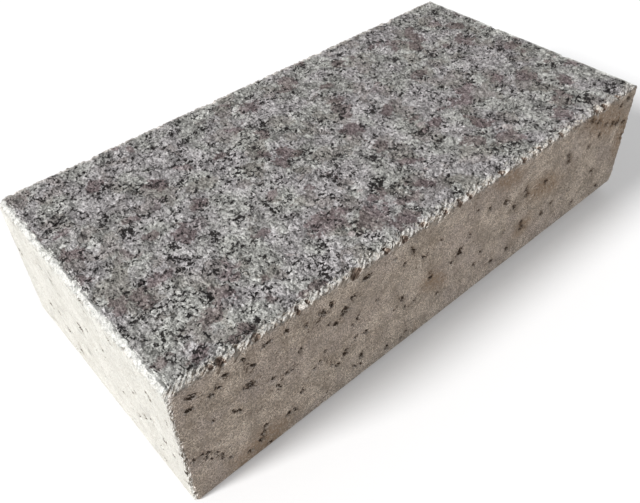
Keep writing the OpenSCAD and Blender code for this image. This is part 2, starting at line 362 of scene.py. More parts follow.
# %% Marks of the near end
end_marks = cloud_of_marks("end_marks", [
    (55, 27, 2.2, 1.6, 45), (48.5, 31.5, 1.3, 0.9, 45), (12, 38, 1.8, 1.2, 60), (29.5, 43.5, 1.5, 0.9, 50),
    (44, 48, 1.8, 1.2, 30), (21, 49, 1.4, 0.9, 45), (20, 19, 1.6, 1.1, 30), (16, 23, 1.1, 0.9, 50),
    (46, 25, 1.6, 0.9, 50), (39, 31, 1.6, 0.9, 10), (75, 37, 1.8, 1.1, 45), (69, 36, 1.3, 0.9, 0),
    (82, 15, 1.8, 1.1, 45), (75, 17, 1.5, 1, 0), (71, 12, 2, 1.1, 45), (65, 7, 2.2, 1.1, 50),
    (70, 3, 2, 0.9, 0), (86, 3.5, 1.6, 1, 0), (96, 30, 1.6, 1.1, 45), (33, 17, 1.3, 0.9, 0),
    (25, 14, 1.3, 0.9, 0), (1, 23, 1.1, 1, 0), (1, 14, 1, 1, 0), (1, 8, 1, 1, 0), (15, 4, 1.3, 1, 0),
    (34, 2, 1.4, 0.9, 0), (32, 5.5, 1, 0.8, 0), (25, 27, 1.3, 0.8, 50), (22, 30, 1.1, 0.9, 0),
    (10, 29, 0.9, 0.8, 0), (10, 20, 1.3, 0.8, 0), (4, 35, 0.9, 0.8, 0), (6, 16, 0.9, 0.8, 0),
    (14.5, 11, 1.1, 0.8, 0), (47, 10, 1.3, 0.8, 0), (60, 14, 1.1, 0.8, 0),
])

# %% [markdown]
# ## Where each finish lies
#
# The saw, the torch and the knocks each leave their own finish, and a rule of distances says where. Near
# an upper edge the stone is crumbled, in a ragged band that is wider on the face than down the side, and
# wider at the front and the near end than behind. The band's border is broken up with noise, so that it
# reads as broken grains and not as a painted stripe. Along the band sit leaning chips, one to each cell of
# a cell noise, most of them small and a few large.

# %% The rule of the crumbled edges
FRONT_BAND_MM = 3.0
BACK_BAND_MM = 0.7
LONG_DROP_MM = 1.4
NEAR_BAND_MM = 2.2
FAR_BAND_MM = 0.7
END_DROP_MM = 2.4
UPRIGHT_BAND_MM = 0.8
SMALLEST_CHIP_MM = 0.7
LARGEST_CHIP_MM = 4.5
CHIPS_PER_MM = 0.75


def distances_to_faces(place):
    """How far in mm a place is from the nearer end, the nearer long side, the wearing face and the bed."""
    x, y, z = split(place)[:3]
    from_end = calc("SUBTRACT", length / MM / 2, calc("ABSOLUTE", x))
    from_side = calc("SUBTRACT", width / MM / 2, calc("ABSOLUTE", y))
    from_top = calc("SUBTRACT", height / MM, z)
    return from_end, from_side, from_top, z


def closeness_to_edge(across, down, band, drop):
    """0 on the sharp edge line and 1 where the crumbled band ends."""
    oval = join(calc("DIVIDE", across, band), calc("DIVIDE", down, drop))
    return vector_calc("LENGTH", oval)


def crumbled_edges(place):
    """1 on the crumbled upper edges, 0 away from them, with a ragged border."""
    from_end, from_side, from_top, _ = distances_to_faces(place)
    x, y = split(place)[:2]
    long_band = ease(y, -10.0, 10.0, FRONT_BAND_MM, BACK_BAND_MM)
    end_band = ease(x, -10.0, 10.0, NEAR_BAND_MM, FAR_BAND_MM)
    long_edge = closeness_to_edge(from_side, from_top, long_band, LONG_DROP_MM)
    end_edge = closeness_to_edge(from_end, from_top, end_band, END_DROP_MM)
    upright = closeness_to_edge(from_end, from_side, UPRIGHT_BAND_MM, UPRIGHT_BAND_MM)
    nearest = chain("MINIMUM", long_edge, end_edge, upright)
    ragged = uneven(place, 0.7, 1.0)
    return ease(calc("ADD", nearest, ragged), 0.85, 1.15, 1.0, 0.0)


def chips(place):
    """How far in mm a place lies inside a chip of the upper edges, and how far from the chip's middle."""
    from_end, from_side, from_top, _ = distances_to_faces(place)
    x, y = split(place)[:2]
    across = calc("MINIMUM", from_side, from_end)
    down = calc("SUBTRACT", from_top, across)
    along = chain("ADD", x, y, calc("MULTIPLY", down, 0.6), uneven(place, 0.5, 0.6))
    chip = cells(join(along, calc("MULTIPLY", down, 0.25)), CHIPS_PER_MM)
    mostly_small = calc("POWER", split(chip["Color"])[0], 2.5)
    size = between(mostly_small, SMALLEST_CHIP_MM, LARGEST_CHIP_MM)
    on_an_end = ease(calc("SUBTRACT", from_side, from_end), -0.5, 0.5, 1.0, 0.6)
    stretch = ease(noise(place, 0.1, 2), 0.35, 0.65, 0.5, 1.3)
    at_the_back = ease(y, -10.0, 10.0, 1.0, 0.3)
    at_the_far_end = ease(x, 85.0, 95.0, 1.0, 0.45)
    behind = calc("MULTIPLY", at_the_back, at_the_far_end)
    size = chain("MULTIPLY", size, on_an_end, stretch, behind)
    below_the_edge = calc("SUBTRACT", size, from_top)
    inside = calc("SUBTRACT", below_the_edge, calc("MULTIPLY", across, 1.6))
    return inside, chip["Distance"]


print(f"bands {FRONT_BAND_MM} mm in front, {BACK_BAND_MM} mm behind, chips up to {LARGEST_CHIP_MM} mm")


# %% [markdown]
# A saw tears mica out in short streaks that lean with the stone's grain. So the noise is stretched along
# the side and leans with it. A pit mark raises the noise until it passes a limit, which gives a ragged pit
# instead of an oval one. On the far half the marks give way to the noise a little more, and the pits are
# more broken up.

# %% The rule of what the saw tore out
def tearing(place, pits):
    """Passes 0.7 where the saw tore mica out of a side: often inside a pit mark, seldom outside."""
    x, y, z = split(place)[:3]
    along = calc("ADD", x, y)
    leaning = calc("MULTIPLY_ADD", along, -0.3, z)
    rough = noise(join(calc("MULTIPLY", along, 0.7), leaning), 1.5, 3, 0.65)
    raggedness = ease(x, 0.0, 50.0, 1.0, 1.35)
    return chain(
        "ADD",
        calc("MULTIPLY", calc("SUBTRACT", rough, 0.5), raggedness),
        ease(pits, 0.25, 0.75, 0.5, 0.73),
        centred(noise(place, 0.15, 2), 0.2),
    )


print("the saw's rule is ready")


# %% The grain of the crumbled edges
def teeth(place, per_mm):
    """Rough random values around 0.5 in short ridges that run down across a crumbled edge."""
    from_end, from_side, from_top, _ = distances_to_faces(place)
    x, y = split(place)[:2]
    across = calc("MINIMUM", from_side, from_end)
    down = calc("ADD", across, from_top)
    along = calc("ADD", calc("SUBTRACT", x, y), from_top)
    return noise(join(along, calc("MULTIPLY", down, 0.3)), per_mm, 3, 0.7)


print("the edges' grain is ready")

# %% [markdown]
# ## The rough stone as geometry
#
# One could push a subdivided cube about with a displacement modifier, but then the corners and chips of
# the real outline would be lost. Here a fine grid in the shape of a box is laid onto the block, each point
# at the nearest place of the block's surface, so every chip stays. Then each point sinks inwards, by a
# depth that depends on the finish it lies in. Nothing ever moves outwards, so the stone keeps its size.


# %% The inputs of the shape's tree
def new_shape_tree(name, inputs):
    tree = bpy.data.node_groups.new(name, "GeometryNodeTree")
    for title, kind, value in inputs:
        socket = tree.interface.new_socket(title, in_out="INPUT", socket_type=kind)
        if value is not None:
            socket.default_value = value
    tree.interface.new_socket("Geometry", in_out="OUTPUT", socket_type="NodeSocketGeometry")
    return tree


MARK_KINDS = [f"{kind} Marks" for kind in ("Plum", "Black", "Pale", "Pit", "End", "Notch", "Rust")]
shape_tree = new_shape_tree("Rough Stone", [
    ("Block", "NodeSocketObject", None),
    *[(title, "NodeSocketObject", None) for title in MARK_KINDS],
    ("Granite", "NodeSocketMaterial", None),
    ("Length", "NodeSocketFloat", length),
    ("Width", "NodeSocketFloat", width),
    ("Height", "NodeSocketFloat", height),
    ("Columns", "NodeSocketInt", 620),
    ("Rows", "NodeSocketInt", 250),
    ("Layers", "NodeSocketInt", 110),
    ("Flamed Relief", "NodeSocketFloat", 1.0),
    ("Chip Relief", "NodeSocketFloat", 1.0),
    ("Pit Depth", "NodeSocketFloat", 0.55),
])
work_in(shape_tree)
given = add("NodeGroupInput").outputs
print("inputs:", ", ".join(socket.name for socket in given if socket.name))


# %% A grid laid onto the block
def crowded(coordinate, half):
    """Draws the grid lines towards the edges, where the fine chips are."""
    share = calc("DIVIDE", coordinate, half)
    from_edge = calc("SUBTRACT", 1.0, calc("ABSOLUTE", share))
    drawn = calc("SUBTRACT", 1.0, calc("POWER", from_edge, 1.25))
    return calc("MULTIPLY", calc("MULTIPLY", drawn, calc("SIGN", share)), half)


def move_points(geometry, position=None, offset=None):
    node = add("GeometryNodeSetPosition")
    feed(node.inputs["Geometry"], geometry)
    if position is not None:
        feed(node.inputs["Position"], position)
    if offset is not None:
        feed(node.inputs["Offset"], offset)
    return node.outputs[0]


def grid_on_block():
    box = add("GeometryNodeMeshCube")
    feed(box.inputs["Size"], join(given["Length"], given["Width"], given["Height"]))
    for socket, title in zip(("Vertices X", "Vertices Y", "Vertices Z"), ("Columns", "Rows", "Layers")):
        feed(box.inputs[socket], given[title])
    here = add("GeometryNodeInputPosition").outputs[0]
    x, y, z = split(here)[:3]
    half_height = calc("DIVIDE", given["Height"], 2)
    half_width = calc("DIVIDE", given["Width"], 2)
    crowded_z = calc("ADD", crowded(z, half_height), half_height)
    shaped = move_points(box.outputs["Mesh"], join(x, crowded(y, half_width), crowded_z))
    surface = add("GeometryNodeObjectInfo")
    feed(surface.inputs["Object"], given["Block"])
    nearest = add("GeometryNodeProximity", target_element="FACES")
    feed(nearest.inputs[0], surface.outputs["Geometry"])
    return move_points(shaped, nearest.outputs["Position"])


laid_on = grid_on_block()
print("grid laid onto the block")


# %% Sampling the marks
def sample_mark(geometry, index, kind, value):
    node = add("GeometryNodeSampleIndex", data_type=kind, domain="POINT")
    feed(node.inputs["Geometry"], geometry)
    feed(node.inputs["Value"], value)
    feed(node.inputs["Index"], index)
    return node.outputs[0]


def named(title):
    node = add("GeometryNodeInputNamedAttribute", data_type="FLOAT")
    node.inputs["Name"].default_value = title
    return node.outputs["Attribute"]


def mark_field(cloud, flat_place):
    """1 at the heart of the nearest mark, 0.5 on its border and 0 at twice its size."""
    info = add("GeometryNodeObjectInfo")
    feed(info.inputs["Object"], cloud)
    points = info.outputs["Geometry"]
    nearest = add("GeometryNodeSampleNearest", domain="POINT")
    feed(nearest.inputs["Geometry"], points)
    feed(nearest.inputs["Sample Position"], flat_place)
    index = nearest.outputs["Index"]
    here = add("GeometryNodeInputPosition").outputs[0]
    centre = sample_mark(points, index, "FLOAT_VECTOR", here)
    turn = sample_mark(points, index, "FLOAT", named("turn"))
    turned = add("ShaderNodeVectorRotate", rotation_type="Z_AXIS")
    feed(turned.inputs["Vector"], vector_calc("SUBTRACT", flat_place, centre))
    feed(turned.inputs["Angle"], calc("MULTIPLY", turn, -1.0))
    along, across = split(turned.outputs[0])[:2]
    half_length = sample_mark(points, index, "FLOAT", named("half_length"))
    half_width = sample_mark(points, index, "FLOAT", named("half_width"))
    oval = join(calc("DIVIDE", along, half_length), calc("DIVIDE", across, half_width))
    return calc("MULTIPLY_ADD", vector_calc("LENGTH", oval), -0.5, 1.0, clamp=True)


print("marks can be sampled")

# %% Places on each face, and where a face ends
stone_place = in_millimetres(add("GeometryNodeInputPosition").outputs[0])
x_mm, y_mm, z_mm = split(stone_place)[:3]
from_near_end = calc("ADD", x_mm, length / MM / 2)
from_front = calc("ADD", y_mm, width / MM / 2)
from_end, from_side, from_top, from_bed = distances_to_faces(stone_place)
on_top = ease(from_top, 0.15, 0.5, 1.0, 0.0)
on_front = ease(from_front, 0.1, 0.3, 1.0, 0.0)
near_front = ease(from_front, 1.5, 3.0, 1.0, 0.0)
on_near_end = ease(from_near_end, 0.1, 0.3, 1.0, 0.0)
top_place = join(from_near_end, from_front)
front_place = join(from_near_end, z_mm)
end_place = join(from_front, z_mm)
print("places ready")


# %% Each list of marks as a field
def marks_on_face(title, flat_place, on_face):
    """The field of one list of marks, which ends where its own face ends."""
    return calc("MULTIPLY", mark_field(given[title], flat_place), on_face)


plum = marks_on_face("Plum Marks", top_place, on_top)
black = marks_on_face("Black Marks", top_place, on_top)
pale = marks_on_face("Pale Marks", top_place, on_top)
front_pits = marks_on_face("Pit Marks", front_place, on_front)
end_pits = marks_on_face("End Marks", end_place, on_near_end)
notches = marks_on_face("Notch Marks", front_place, near_front)
rust = marks_on_face("Rust Marks", front_place, on_front)
print("marks laid out")

# %% [markdown]
# The back, the far end and the bed are hidden in the picture, and a saw leaves pits there too. There they
# are placed by chance: one in each cell of a cell noise that is stretched along the side, each of its own
# size.

# %% Pits of the hidden sides, and the broken places
HIDDEN_PITS_PER_MM = 0.16
longer_along = (0.6, 0.6, 1.0)
pit_place = vector_calc("MULTIPLY", bent(stone_place, 0.5, 0.8), longer_along)
chance = cells(pit_place, HIDDEN_PITS_PER_MM)
pit_size = calc("ADD", split(chance["Color"])[0], 0.2)
spread = calc("DIVIDE", chance["Distance"], pit_size)
hidden = calc("SUBTRACT", 1.0, chain("MAXIMUM", on_top, on_front, on_near_end))
hidden_pits = calc("MULTIPLY", ease(spread, 0.08, 0.42, 0.85, 0.0), hidden)
pits = chain("MAXIMUM", front_pits, end_pits, hidden_pits)
crumbled = crumbled_edges(stone_place)
off_every_face = chain("MINIMUM", from_end, from_side, from_top, from_bed)
on_a_band = ease(from_top, 5.0, 7.0, 0.7, 0.0)
broken = ease(calc("SUBTRACT", off_every_face, on_a_band), 0.2, 0.5)
print("fields ready")

# %% [markdown]
# ## How deep each finish sinks
#
# Flaming bursts grains off in flakes: neighbouring grains end at different heights, in hollows a few
# grains wide. A crumbled edge is a row of small scoops, side by side, that lean along the edge. A sawn
# face is flat but for the pits, and a broken one is rough all over. Cell noise gives the grains and the
# scoops, and smooth noise the hollows. The depths could be one displacement texture, but as separate rules
# each can be looked at alone.


# %% Depth of every finish, in millimetres
def flamed_depth(place, black, plum):
    grain = cells(bent(place, 0.6, 1.0), 0.7)
    hollow = ease(noise(place, 0.2, 4, 0.62), 0.34, 0.62, 0.0, 0.75)
    step = calc("MULTIPLY", split(grain["Color"])[0], 0.35)
    fine = ease(noise(place, 1.1, 3, 0.7), 0.3, 0.7, 0.0, 0.55)
    nest = calc("MULTIPLY", ease(black, 0.3, 0.8), 0.3)
    smoother = calc("MULTIPLY_ADD", ease(plum, 0.4, 0.8), -0.5, 1.0)
    sum_of_all = chain("ADD", hollow, calc("MULTIPLY", step, smoother), fine, nest, -0.2)
    return calc("MULTIPLY", calc("MAXIMUM", sum_of_all, 0.0), given["Flamed Relief"])


def chip_depth(inside, from_middle):
    """A chip is a slanting scoop, deepest along its middle."""
    scoop = calc("MULTIPLY", calc("MAXIMUM", inside, 0.0), 0.5)
    scoop = calc("MULTIPLY", scoop, ease(from_middle, 0.25, 0.65, 1.0, 0.3))
    return calc("MULTIPLY", scoop, given["Chip Relief"])


def sawn_depth(place, pits):
    torn = ease(tearing(place, pits), 0.64, 0.74)
    wavy = calc("MULTIPLY", noise(place, 0.05, 1), 0.08)
    return calc("MULTIPLY_ADD", torn, given["Pit Depth"], wavy)


def broken_depth(place):
    coarse = ease(noise(place, 0.3, 4, 0.65), 0.3, 0.7, 0.0, 1.3)
    fine = ease(noise(place, 1.2, 3, 0.7), 0.3, 0.7, 0.0, 0.5)
    return calc("ADD", coarse, fine)


def mixed(share, a, b):
    node = add("ShaderNodeMix", data_type="FLOAT")
    for socket, value in zip(node.inputs, (share, None, a, b)):
        feed(socket, value)
    return node.outputs[0]


print("rules of depth ready")

# %% The depth of every point
flamed = flamed_depth(stone_place, black, plum)
inside_chip, from_chip_middle = chips(stone_place)
inside_notch = calc("MULTIPLY_ADD", notches, 4.0, -1.7)
inside_notch = calc("ADD", inside_notch, uneven(stone_place, 0.8, 0.7))
inside_notch = calc("SUBTRACT", inside_notch, calc("MULTIPLY", from_front, 0.6))
inside_chip = calc("MAXIMUM", inside_chip, inside_notch)
from_chip_middle = mixed(ease(inside_notch, 0.0, 0.2), from_chip_middle, 0.25)
crumbs = ease(teeth(stone_place, 0.9), 0.36, 0.62, 0.6, 0.0)
depth = mixed(on_top, sawn_depth(stone_place, pits), flamed)
depth = mixed(broken, depth, broken_depth(stone_place))
depth = calc("ADD", depth, calc("MULTIPLY", crumbled, crumbs))
depth = calc("ADD", depth, chip_depth(inside_chip, from_chip_middle))
print("depths ready")

# %% [markdown]
# ## Keeping the masks, and sinking the surface
#
# The material has to know which finish it is on. The masks are stored as named attributes before the
# points sink, while each point still lies on the clean block, and travel with the mesh from then on.
#
# A point could sink along its own normal, but beside an edge two faces would then sink through each other.
# Instead every point heads for the nearest place of a core block, 4 mm smaller all round: straight down on
# a face and slantwise at an edge.


# %% Store the masks, sink the points and set the material
def store(geometry, title, value):
    node = add("GeometryNodeStoreNamedAttribute", data_type="FLOAT", domain="POINT")
    feed(node.inputs["Geometry"], geometry)
    node.inputs["Name"].default_value = title
    feed(node.inputs["Value"], value)
    return node.outputs[0]


CORE_INSET = 4 * MM
masks = {
    "flamed": on_top, "broken": broken, "plum": plum, "black": black, "pale": pale,
    "pits": pits, "rust": rust, "chipped": inside_chip, "notched": inside_notch,
}
stone = laid_on
for title, field in masks.items():
    stone = store(stone, title, field)
here = add("GeometryNodeInputPosition").outputs[0]
inset = Vector((CORE_INSET, CORE_INSET, CORE_INSET))
core = vector_calc("MINIMUM", vector_calc("MAXIMUM", here, low + inset), high - inset)
inwards = vector_calc("NORMALIZE", vector_calc("SUBTRACT", core, here))
sinking = vector_calc("SCALE", inwards, scale=calc("MULTIPLY", depth, MM))
stone = move_points(stone, offset=sinking)
realized = add("GeometryNodeRealizeInstances")
feed(realized.inputs[0], stone)
finish = add("GeometryNodeSetMaterial")
feed(finish.inputs["Geometry"], realized.outputs[0])
feed(finish.inputs["Material"], given["Granite"])
feed(add("NodeGroupOutput").inputs[0], finish.outputs[0])
print("shape tree has", len(shape_tree.nodes), "nodes")

# %% [markdown]
# ## The granite as a material
#
# Granite is a crush of minerals: pale feldspar and grey quartz in grains about a millimetre across, black
# mica in nests, and here and there a larger plum-coloured feldspar. A picture texture would be quicker,
# but it would show a seam at every edge. So one group gives the colours in solid 3-D, and they run through
# the stone and meet at the edges. Others lay the saw's dust and the crumbled powder over them.


# %% Helpers for the material's groups
def new_group(name, inputs, outputs):
    """A new shader group that is worked in from now on, with what is sent in and what goes out."""
    group = bpy.data.node_groups.new(name, "ShaderNodeTree")
    for title, kind, value in inputs:
        socket = group.interface.new_socket(title, in_out="INPUT", socket_type=kind)
        if value is not None:
            socket.default_value = value
    for title, kind in outputs:
        group.interface.new_socket(title, in_out="OUTPUT", socket_type=kind)
    work_in(group)
    return group, add("NodeGroupInput").outputs, add("NodeGroupOutput").inputs


def use_group(group, **values):
    node = add("ShaderNodeGroup", node_tree=group)
    for title, value in values.items():
        feed(node.inputs[title.replace("_", " ")], value)
    return node.outputs


def tint(share, a, b, how="MIX"):
    """Goes from colour a to colour b as share goes from 0 to 1."""
    node = add("ShaderNodeMix", data_type="RGBA", blend_type=how)
    feed(node.inputs[0], share)
    feed(node.inputs[6], a)
    feed(node.inputs[7], b)
    return node.outputs[2]


def steps_of_colour(value, stops):
    node = add("ShaderNodeValToRGB")
    elements = node.color_ramp.elements
    while len(elements) < len(stops):
        elements.new(0.5)
    for element, (place, colour) in zip(elements, stops):
        element.position = place
        element.color = colour
    feed(node.inputs[0], value)
    return node.outputs[0]


FLOAT, COLOUR, VECTOR = "NodeSocketFloat", "NodeSocketColor", "NodeSocketVector"
print("group helpers ready")

# %% [markdown]
# ### Facets
#
# A burst or broken grain shows a flat face that looks its own way, so that it catches the light alone.
# Each cell becomes such a face: its random colour, read as a direction, tilts a small plane through the
# cell's middle.

# %% Group: tilted facets
facets, sent, out = new_group(
    "Grain Facets",
    [("Place", VECTOR, None), ("Grains Per Millimetre", FLOAT, 1.0), ("Tilt", FLOAT, 0.5)],
    [("Height", FLOAT)],
)
crooked = bent(sent["Place"], 1.0, 0.4)
facet = cells(crooked, sent["Grains Per Millimetre"])
from_middle = vector_calc("SUBTRACT", crooked, facet["Position"])
slope = vector_calc("SUBTRACT", facet["Color"], (0.5, 0.5, 0.5))
plane = vector_calc("DOT_PRODUCT", slope, from_middle)
feed(out["Height"], calc("MULTIPLY", plane, calc("MULTIPLY", sent["Tilt"], 2.0)))
print("facets:", len(facets.nodes), "nodes")

# %% [markdown]
# ### Minerals
#
# Cell noise splits the stone into crystals, grains and splinters, and bending the place first gives them
# crooked borders. Each cell's random number and some fractal noise add up to one level, from dark to
# light. The level also falls a little towards the far end, which is painted light: the light falling off
# away from the near end.

# %% Group: minerals, and the level of every grain
CRYSTALS_PER_MM = 0.17
GRAINS_PER_MM = 1.0
SPLINTERS_PER_MM = 1.8
minerals, sent, out = new_group(
    "Granite Minerals",
    [("Place", VECTOR, None), *[(f"{kind} Mark", FLOAT, 0.0) for kind in ("Plum", "Black", "Pale")]],
    [("Colour", COLOUR), ("Mica And Crevice Shade", FLOAT)],
)
place = sent["Place"]
crooked = bent(bent(place, 0.25, 2.2), 1.0, 0.6)
crystal = split(cells(crooked, CRYSTALS_PER_MM)["Color"])
to_border = cells(crooked, CRYSTALS_PER_MM, "DISTANCE_TO_EDGE")["Distance"]
jagged = bent(place, 0.8, 0.45)
grain = split(cells(jagged, GRAINS_PER_MM)["Color"])
splinter = split(cells(jagged, SPLINTERS_PER_MM)["Color"])
level = chain(
    "ADD",
    noise(place, 0.8, 4, 0.76),
    uneven(place, 2.4, 0.09, 3, 0.8),
    centred(crystal[1], 0.1),
    centred(grain[0], 0.13),
    centred(splinter[0], 0.105),
    # painted light: the level falls a little towards the far end, as if the light weakened there
    calc("MULTIPLY", split(place)[0], -0.00035),
    centred(noise(place, 0.16, 2), 0.3),
)
print("the level has", len(minerals.nodes), "nodes")

# %% [markdown]
# A ramp turns the level into the colours of each feldspar: grey for most of them, tan for some crystals,
# and plum for the marks and a few stray crystals. The grey's brightest end is partly painted glints, the
# sparkle of sunlit grains. A slow hue over it all keeps large areas from looking alike.

# %% Colours of the feldspars
grey = steps_of_colour(level, [
    (0.3, (0.16, 0.153, 0.148, 1)),
    (0.4, (0.29, 0.278, 0.27, 1)),
    (0.5, (0.425, 0.41, 0.398, 1)),
    (0.58, (0.545, 0.528, 0.513, 1)),
    (0.68, (0.715, 0.696, 0.68, 1)),
    # the brightest stop is partly painted glints: sunlit sparkles on the grains
    (0.8, (0.9, 0.88, 0.863, 1)),
])
tan = steps_of_colour(level, [
    (0.3, (0.17, 0.155, 0.143, 1)),
    (0.5, (0.31, 0.285, 0.265, 1)),
    (0.75, (0.52, 0.485, 0.46, 1)),
])
plum_colour = steps_of_colour(level, [
    (0.3, (0.105, 0.077, 0.076, 1)),
    (0.44, (0.172, 0.133, 0.131, 1)),
    (0.56, (0.248, 0.2, 0.196, 1)),
    (0.68, (0.37, 0.317, 0.307, 1)),
    (0.8, (0.62, 0.57, 0.555, 1)),
])
marked = ease(calc("ADD", sent["Plum Mark"], uneven(place, 0.5, 0.5, 5)), 0.42, 0.58)
stray = ease(crystal[0], 0.05, 0.08, 1.0, 0.0)
plummy = calc("MULTIPLY", calc("MAXIMUM", marked, stray), 0.85)
tanned = ease(crystal[2], 0.2, 0.22, 0.8, 0.0)
colour = tint(tanned, grey, tan)
colour = tint(plummy, colour, plum_colour)
hue = noise(place, 0.09, 2)
hue_colour = tint(ease(hue, 0.38, 0.62), (1.0, 0.985, 1.015, 1), (0.975, 1.0, 0.97, 1))
colour = tint(1.0, colour, hue_colour, "MULTIPLY")
flaked = calc("ADD", sent["Pale Mark"], uneven(place, 0.8, 0.1))
flaked = ease(flaked, 0.45, 0.55, 0.0, 0.85)
pale_colour = steps_of_colour(level, [
    (0.35, (0.4, 0.35, 0.34, 1)),
    (0.6, (0.6, 0.54, 0.525, 1)),
    (0.7, (0.85, 0.81, 0.79, 1)),
])
colour = tint(flaked, colour, pale_colour)
print("feldspars done,", len(minerals.nodes), "nodes")

# %% [markdown]
# Mica is black, and lies in ragged specks and thin winding threads. The threads are partly mica and partly
# painted shade: the dark of the crevices beside the grains' steps. A speck is where a fractal noise is
# high, mostly in nests and where a mark pushes the noise up. A thread is where a second noise crosses its
# middle value.

# %% Black mica in specks, and threads of mica and painted crevice shade
# one black for the mica and for the painted shade of the crevices
BLACK_OF_MICA_AND_SHADE = (0.014, 0.011, 0.0105, 1)
border = ease(to_border, 0.0, 0.16, 1.0, 0.0)
nests = noise(place, 0.19, 2)
swirled = bent(place, 0.6, 0.6)
mica_level = chain(
    "ADD",
    noise(swirled, 0.85, 2, 0.5),
    calc("MULTIPLY", border, 0.02),
    centred(nests, 0.55),
    ease(sent["Black Mark"], 0.15, 0.65, 0.0, 0.1),
    calc("MULTIPLY", plummy, -0.03),
    calc("MULTIPLY", flaked, -0.2),
)
specks = ease(mica_level, 0.614, 0.654)
winding = noise(swirled, 0.3, 2, 0.55)
off_the_line = calc("ABSOLUTE", calc("SUBTRACT", winding, 0.5))
thread = ease(off_the_line, 0.024, 0.048, 1.0, 0.0)
zone = noise(place, 0.33, 3, 0.6)
zone = calc("ADD", zone, calc("MULTIPLY", sent["Black Mark"], 0.14))
zone = calc("SUBTRACT", zone, calc("MULTIPLY", flaked, 0.2))
# painted shade: the threads darken the crevices between grains as well as showing mica
mica_and_crevice_shade_threads = calc("MULTIPLY", thread, ease(zone, 0.562, 0.597))
mica_and_crevice_shade = calc("MAXIMUM", specks, mica_and_crevice_shade_threads)
colour = tint(calc("MULTIPLY", mica_and_crevice_shade, 0.98), colour, BLACK_OF_MICA_AND_SHADE)
feed(out["Colour"], colour)
feed(out["Mica And Crevice Shade"], mica_and_crevice_shade)
print("minerals:", len(minerals.nodes), "nodes")

# %% [markdown]
# ### Saw dust
#
# The sawn sides are coated in a slurry of ground stone that dried to a film: beige on the long sides,
# almost white on the ends, and patchy and sandy on both. One plain colour would look like plastic, so
# noises of several sizes break it up, and the minerals ghost through it.

# %% Group: sawn side, and its dried film
sawn_side, sent, out = new_group(
    "Sawn Side",
    [
        ("Place", VECTOR, None), ("Minerals", COLOUR, (0.2, 0.2, 0.2, 1)),
        ("Pit Mark", FLOAT, 0.0), ("Rust Mark", FLOAT, 0.0),
    ],
    [("Colour", COLOUR), ("Height", FLOAT)],
)
side_place = sent["Place"]
to_end, to_side, _, _ = distances_to_faces(side_place)
end_share = ease(calc("SUBTRACT", to_side, to_end), -0.3, 0.3)
patchy = ease(noise(side_place, 0.1, 5, 0.82), 0.4, 0.61)
beige = tint(patchy, (0.6, 0.56, 0.51, 1), (0.995, 0.945, 0.878, 1))
violet = ease(noise(side_place, 0.045, 3, 0.7), 0.46, 0.62, 0.0, 0.5)
beige = tint(violet, beige, (0.72, 0.67, 0.665, 1))
white = tint(patchy, (0.67, 0.677, 0.64, 1), (0.775, 0.785, 0.75, 1))
film = tint(end_share, beige, white)
sandy = ease(noise(side_place, 1.9, 4, 0.85), 0.36, 0.64)
sand = tint(sandy, (0.33, 0.317, 0.305, 1), (1.65, 1.65, 1.65, 1))
sanded = tint(1.0, film, sand, "MULTIPLY")
film = tint(mixed(end_share, 1.0, 0.25), film, sanded)
print("the film has", len(sawn_side.nodes), "nodes")

# %% [markdown]
# Dusky patches and halos round the pits darken the film, more so on the far half, and iron in the mica has
# left rust in the places of the rust marks.

# %% Dusky patches, minerals and rust
far_half = ease(split(side_place)[0], 0.0, 60.0)
dusky = ease(noise(side_place, 0.3, 4, 0.7), 0.49, 0.62, 0.0, 0.45)
halo = calc("ADD", sent["Pit Mark"], uneven(side_place, 1.1, 0.5))
halo = ease(halo, 0.1, 0.7, 0.0, 0.75)
halo = calc("MULTIPLY", halo, between(far_half, 0.25, 1.0))
dusky = calc("MAXIMUM", dusky, halo)
dusky = mixed(end_share, dusky, 0.0)
film = tint(dusky, film, (0.4, 0.35, 0.3, 1))
ghost = tint(mixed(end_share, 0.14, 0.04), film, sent["Minerals"])
rusty = ease(noise(side_place, 0.9, 4, 0.75), 0.36, 0.58)
rusty = calc("MULTIPLY", ease(sent["Rust Mark"], 0.0, 0.7), rusty)
colour = tint(calc("MULTIPLY", rusty, 0.85), ghost, (0.45, 0.34, 0.245, 1))
print("stains done,", len(sawn_side.nodes), "nodes")

# %% [markdown]
# Where the saw tore mica out, the pit is dark, in a brown stain. The same rule sinks the pit in the
# geometry, so colour and relief agree. The ends also carry short grey dashes, which lean as the saw went.

# %% Pits, dashes and the saw's fine lines
torn_level = tearing(side_place, sent["Pit Mark"])
torn = calc("MULTIPLY", ease(torn_level, 0.67, 0.71), between(far_half, 1.0, 0.8))
stain = ease(torn_level, 0.58, 0.68, 0.0, 0.6)
colour = tint(stain, colour, (0.34, 0.27, 0.21, 1))
leaning = add("ShaderNodeVectorRotate", rotation_type="X_AXIS")
feed(leaning.inputs["Vector"], side_place)
leaning.inputs["Angle"].default_value = math.radians(-25)
dashes = noise(leaning.outputs[0], 1.3, 3, 0.75, stretch=(1.0, 0.16, 1.0))
dashes = calc("ADD", dashes, centred(noise(side_place, 0.08, 2), 0.5))
dashes = calc("MULTIPLY", ease(dashes, 0.59, 0.68, 0.0, 0.66), end_share)
colour = tint(dashes, colour, (0.33, 0.33, 0.31, 1))
colour = tint(torn, colour, (0.075, 0.056, 0.043, 1))
feed(out["Colour"], colour)
lines = noise(side_place, 2.2, 1, stretch=(0.3, 0.3, 3.0))
feed(out["Height"], chain(
    "ADD",
    calc("MULTIPLY", lines, 0.06),
    calc("MULTIPLY", sandy, 0.06),
    calc("MULTIPLY", torn, -0.3),
))
print("sawn side:", len(sawn_side.nodes), "nodes")

# %% [markdown]
# ### All finishes in one material
#
# The masks stored on the mesh pick the finish, and noise in the shader sharpens their borders far below
# the size of a face. Separate materials per face could do it too, but then one finish couldn't fade into
# the next.

